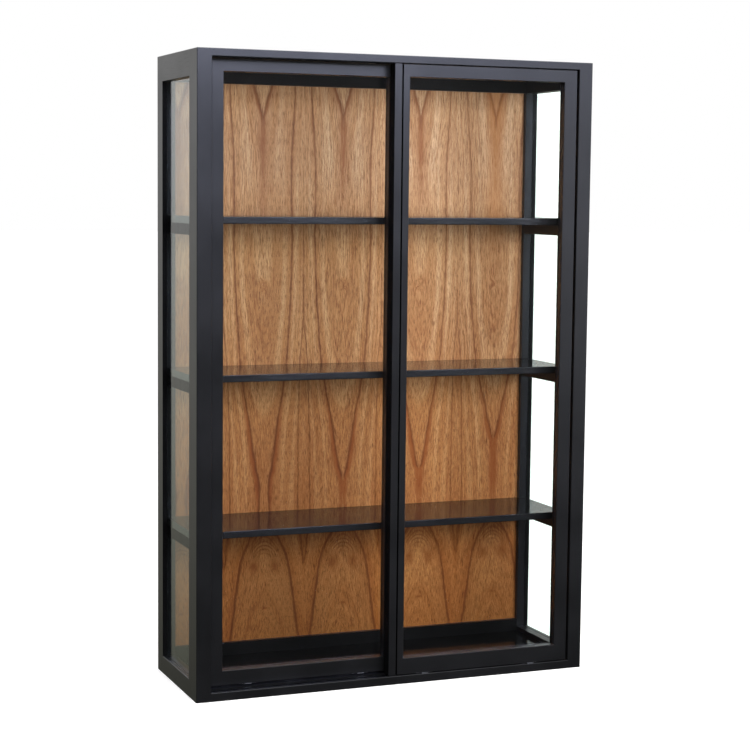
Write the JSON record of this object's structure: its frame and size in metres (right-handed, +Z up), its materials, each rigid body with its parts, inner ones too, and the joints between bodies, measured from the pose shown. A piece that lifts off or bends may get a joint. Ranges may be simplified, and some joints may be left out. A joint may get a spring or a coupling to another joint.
{
  "type": "wall mounted showcase",
  "caption": "Black lacquered wall showcase with sliding framed glass doors, glass sides, shelves on cleats and a book-matched veneer back.",
  "frame": {"origin": "middle of the footprint on the underside of the bottom panel", "axes": "+X to the right seen from the front, +Y back towards the wall, +Z up"},
  "size_m": [0.8, 0.27, 1.2],
  "materials": {
    "lacquer": "black satin lacquer over solid wood, slightly eased arrises",
    "veneer": "book-matched warm brown hardwood veneer, oiled, open pores",
    "glass": "clear float glass",
    "steel": "bright zinc plated steel",
    "track_metal": "black anodised extrusion",
    "black_plastic": "moulded nylon, matte",
    "rubber": "soft black rubber",
    "raw_wood": "plain unfinished beech"
  },
  "bodies": {
    "carcass": {"back_panel": "veneer", "back_panel_screws": "steel", "back_panel_stops": "raw_wood", "bottom_panel": "lacquer", "carcass_dowels": "raw_wood", "door_bumpers": "rubber", "floor_panel": "lacquer", "guide_channel_front": "black_plastic", "guide_channel_rear": "black_plastic", "hanger_plate_left": "steel", "hanger_plate_right": "steel", "hanger_plate_screws": "steel", "post_front_left": "lacquer", "post_front_right": "lacquer", "post_rear_left": "lacquer", "post_rear_right": "lacquer", "rear_bottom_rail": "lacquer", "rear_top_rail": "lacquer", "shelf_cleat_pins": "steel", "shelf_cleats_left": "lacquer", "shelf_cleats_right": "lacquer", "shelf_lower": "lacquer", "shelf_middle": "lacquer", "shelf_upper": "lacquer", "side_bottom_rail_left": "lacquer", "side_bottom_rail_right": "lacquer", "side_glass_beads_left": "lacquer", "side_glass_beads_right": "lacquer", "side_glass_left": "glass", "side_glass_right": "glass", "side_top_rail_left": "lacquer", "side_top_rail_right": "lacquer", "top_panel": "lacquer", "track_front": "track_metal", "track_rear": "track_metal"},
    "rear_door": {"rear_door_bottom_rail": "lacquer", "rear_door_bracket_screws": "steel", "rear_door_glass": "glass", "rear_door_glass_beads": "lacquer", "rear_door_guide_pins": "black_plastic", "rear_door_meeting_stile": "lacquer", "rear_door_outer_stile": "lacquer", "rear_door_roller_axles": "steel", "rear_door_roller_brackets": "steel", "rear_door_top_rail": "lacquer"},
    "front_door": {"front_door_bottom_rail": "lacquer", "front_door_bracket_screws": "steel", "front_door_glass": "glass", "front_door_glass_beads": "lacquer", "front_door_guide_pins": "black_plastic", "front_door_meeting_stile": "lacquer", "front_door_meeting_strip": "lacquer", "front_door_outer_stile": "lacquer", "front_door_roller_axles": "steel", "front_door_roller_brackets": "steel", "front_door_top_rail": "lacquer"},
    "front_door_wheel_left": {"front_door_wheel_left": "steel"},
    "front_door_wheel_right": {"front_door_wheel_right": "steel"},
    "rear_door_wheel_left": {"rear_door_wheel_left": "steel"},
    "rear_door_wheel_right": {"rear_door_wheel_right": "steel"}
  },
  "joints": [
    {"name": "rear_door_slide", "type": "slide", "parent": "carcass", "child": "rear_door", "axis": [1, 0, 0], "range_m": [0, 0.3525]},
    {"name": "front_door_slide", "type": "slide", "parent": "carcass", "child": "front_door", "axis": [-1, 0, 0], "range_m": [0, 0.3525]},
    {"name": "rear_door_wheel_left_spin", "type": "hinge", "parent": "rear_door", "child": "rear_door_wheel_left", "pos_m": [-0.29025, -0.097, 0.02605], "axis": [0, 1, 0], "continuous": true},
    {"name": "rear_door_wheel_right_spin", "type": "hinge", "parent": "rear_door", "child": "rear_door_wheel_right", "pos_m": [-0.06225, -0.097, 0.02605], "axis": [0, 1, 0], "continuous": true},
    {"name": "front_door_wheel_left_spin", "type": "hinge", "parent": "front_door", "child": "front_door_wheel_left", "pos_m": [0.06225, -0.122, 0.02205], "axis": [0, 1, 0], "continuous": true},
    {"name": "front_door_wheel_right_spin", "type": "hinge", "parent": "front_door", "child": "front_door_wheel_right", "pos_m": [0.29025, -0.122, 0.02205], "axis": [0, 1, 0], "continuous": true}
  ],
  "couplings": [
    {"joint": "rear_door_wheel_left_spin", "follows": "rear_door_slide", "rad_per_m": 125},
    {"joint": "rear_door_wheel_right_spin", "follows": "rear_door_slide", "rad_per_m": 125},
    {"joint": "front_door_wheel_left_spin", "follows": "front_door_slide", "rad_per_m": -125},
    {"joint": "front_door_wheel_right_spin", "follows": "front_door_slide", "rad_per_m": -125}
  ]
}
